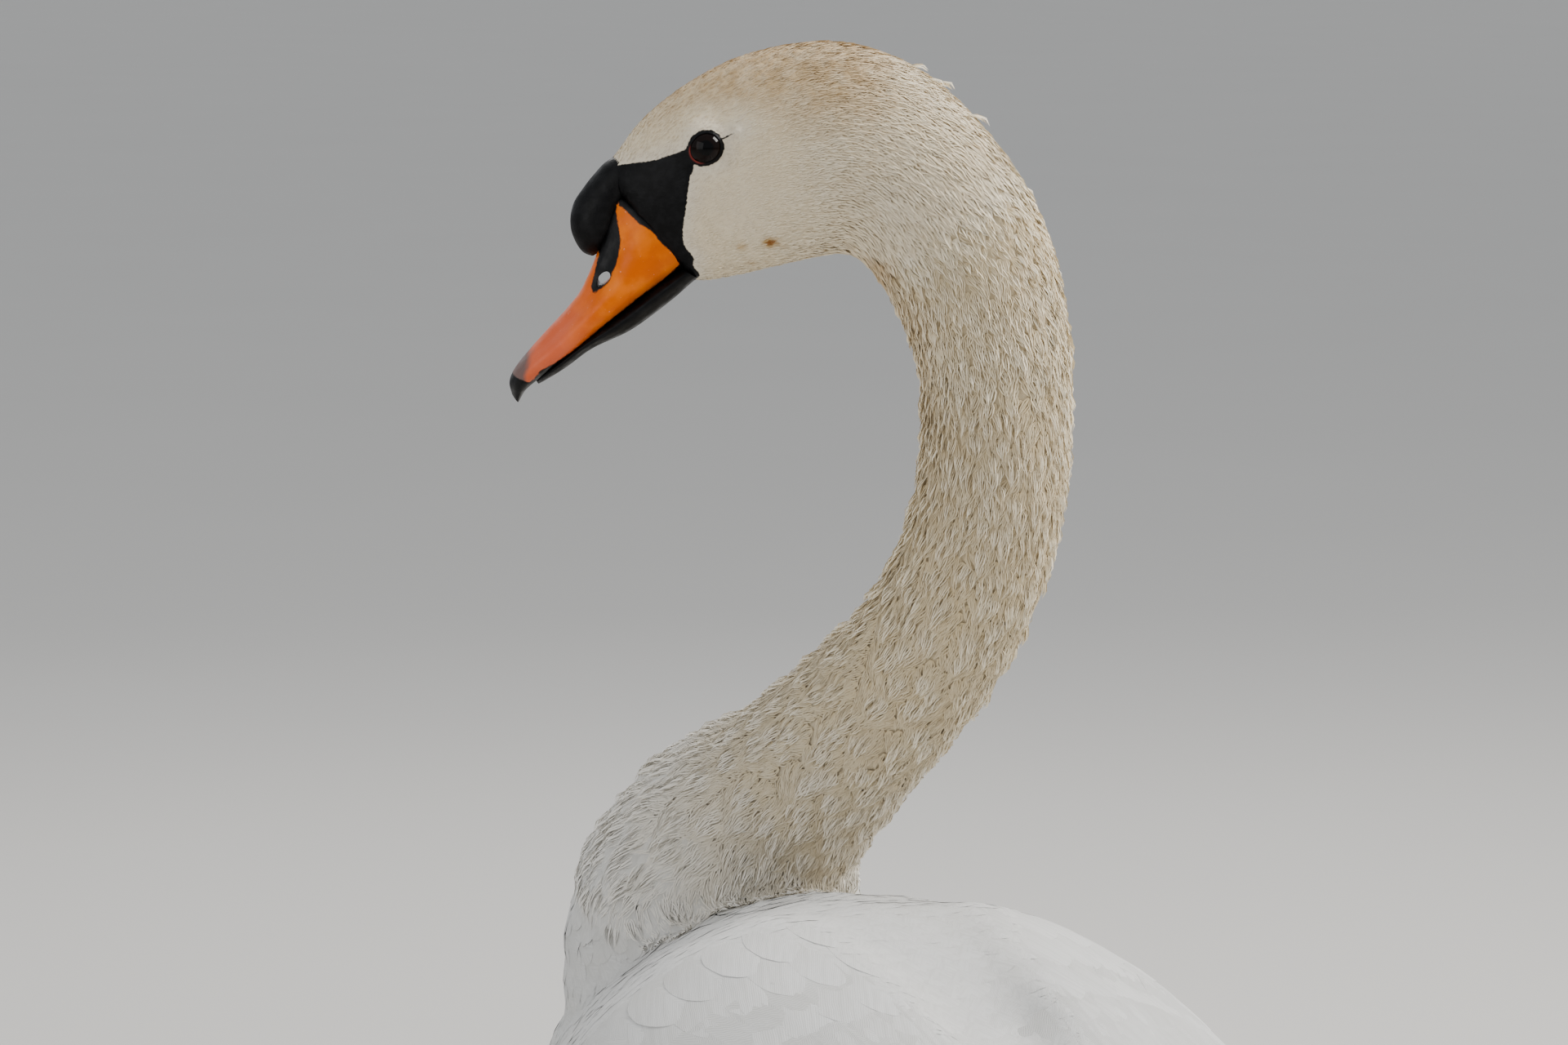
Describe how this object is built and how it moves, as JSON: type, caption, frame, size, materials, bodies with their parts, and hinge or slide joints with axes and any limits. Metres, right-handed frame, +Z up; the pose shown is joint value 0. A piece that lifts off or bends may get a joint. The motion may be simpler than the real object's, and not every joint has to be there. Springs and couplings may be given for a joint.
{
  "type": "mute swan model",
  "caption": "Life-size still model of a mute swan standing on webbed feet, its neck drawn back in a curve and its head turned to its left.",
  "frame": {"origin": "on the floor under the middle of the bounding box, level with the soles of both feet", "axes": "+Z up; the body faces -X, its left side is -Y, and the head looks mostly towards -Y"},
  "size_m": [0.725, 0.3228, 0.782],
  "materials": {
    "white_plumage": "soft white feathers",
    "cream_plumage": "fine cream feathers, stained ochre",
    "bill": "satin orange horn, pinker towards the tip",
    "bill_black": "satin black skin and horn",
    "eye": "wet gloss",
    "leg": "matt scaly skin"
  },
  "bodies": {
    "root": {"head": "cream_plumage", "neck_upper": "cream_plumage", "neck_middle": "cream_plumage", "neck_lower": "white_plumage", "trunk": "white_plumage", "tail": "white_plumage", "wing_left": "white_plumage", "wing_right": "white_plumage", "thigh_left": "white_plumage", "thigh_right": "white_plumage", "shank_left": "leg", "shank_right": "leg", "foot_left": "leg", "foot_right": "leg", "bill_upper": "bill", "bill_lower": "bill_black", "knob": "bill_black", "eye_left": "eye", "eye_right": "eye"}
  },
  "joints": []
}
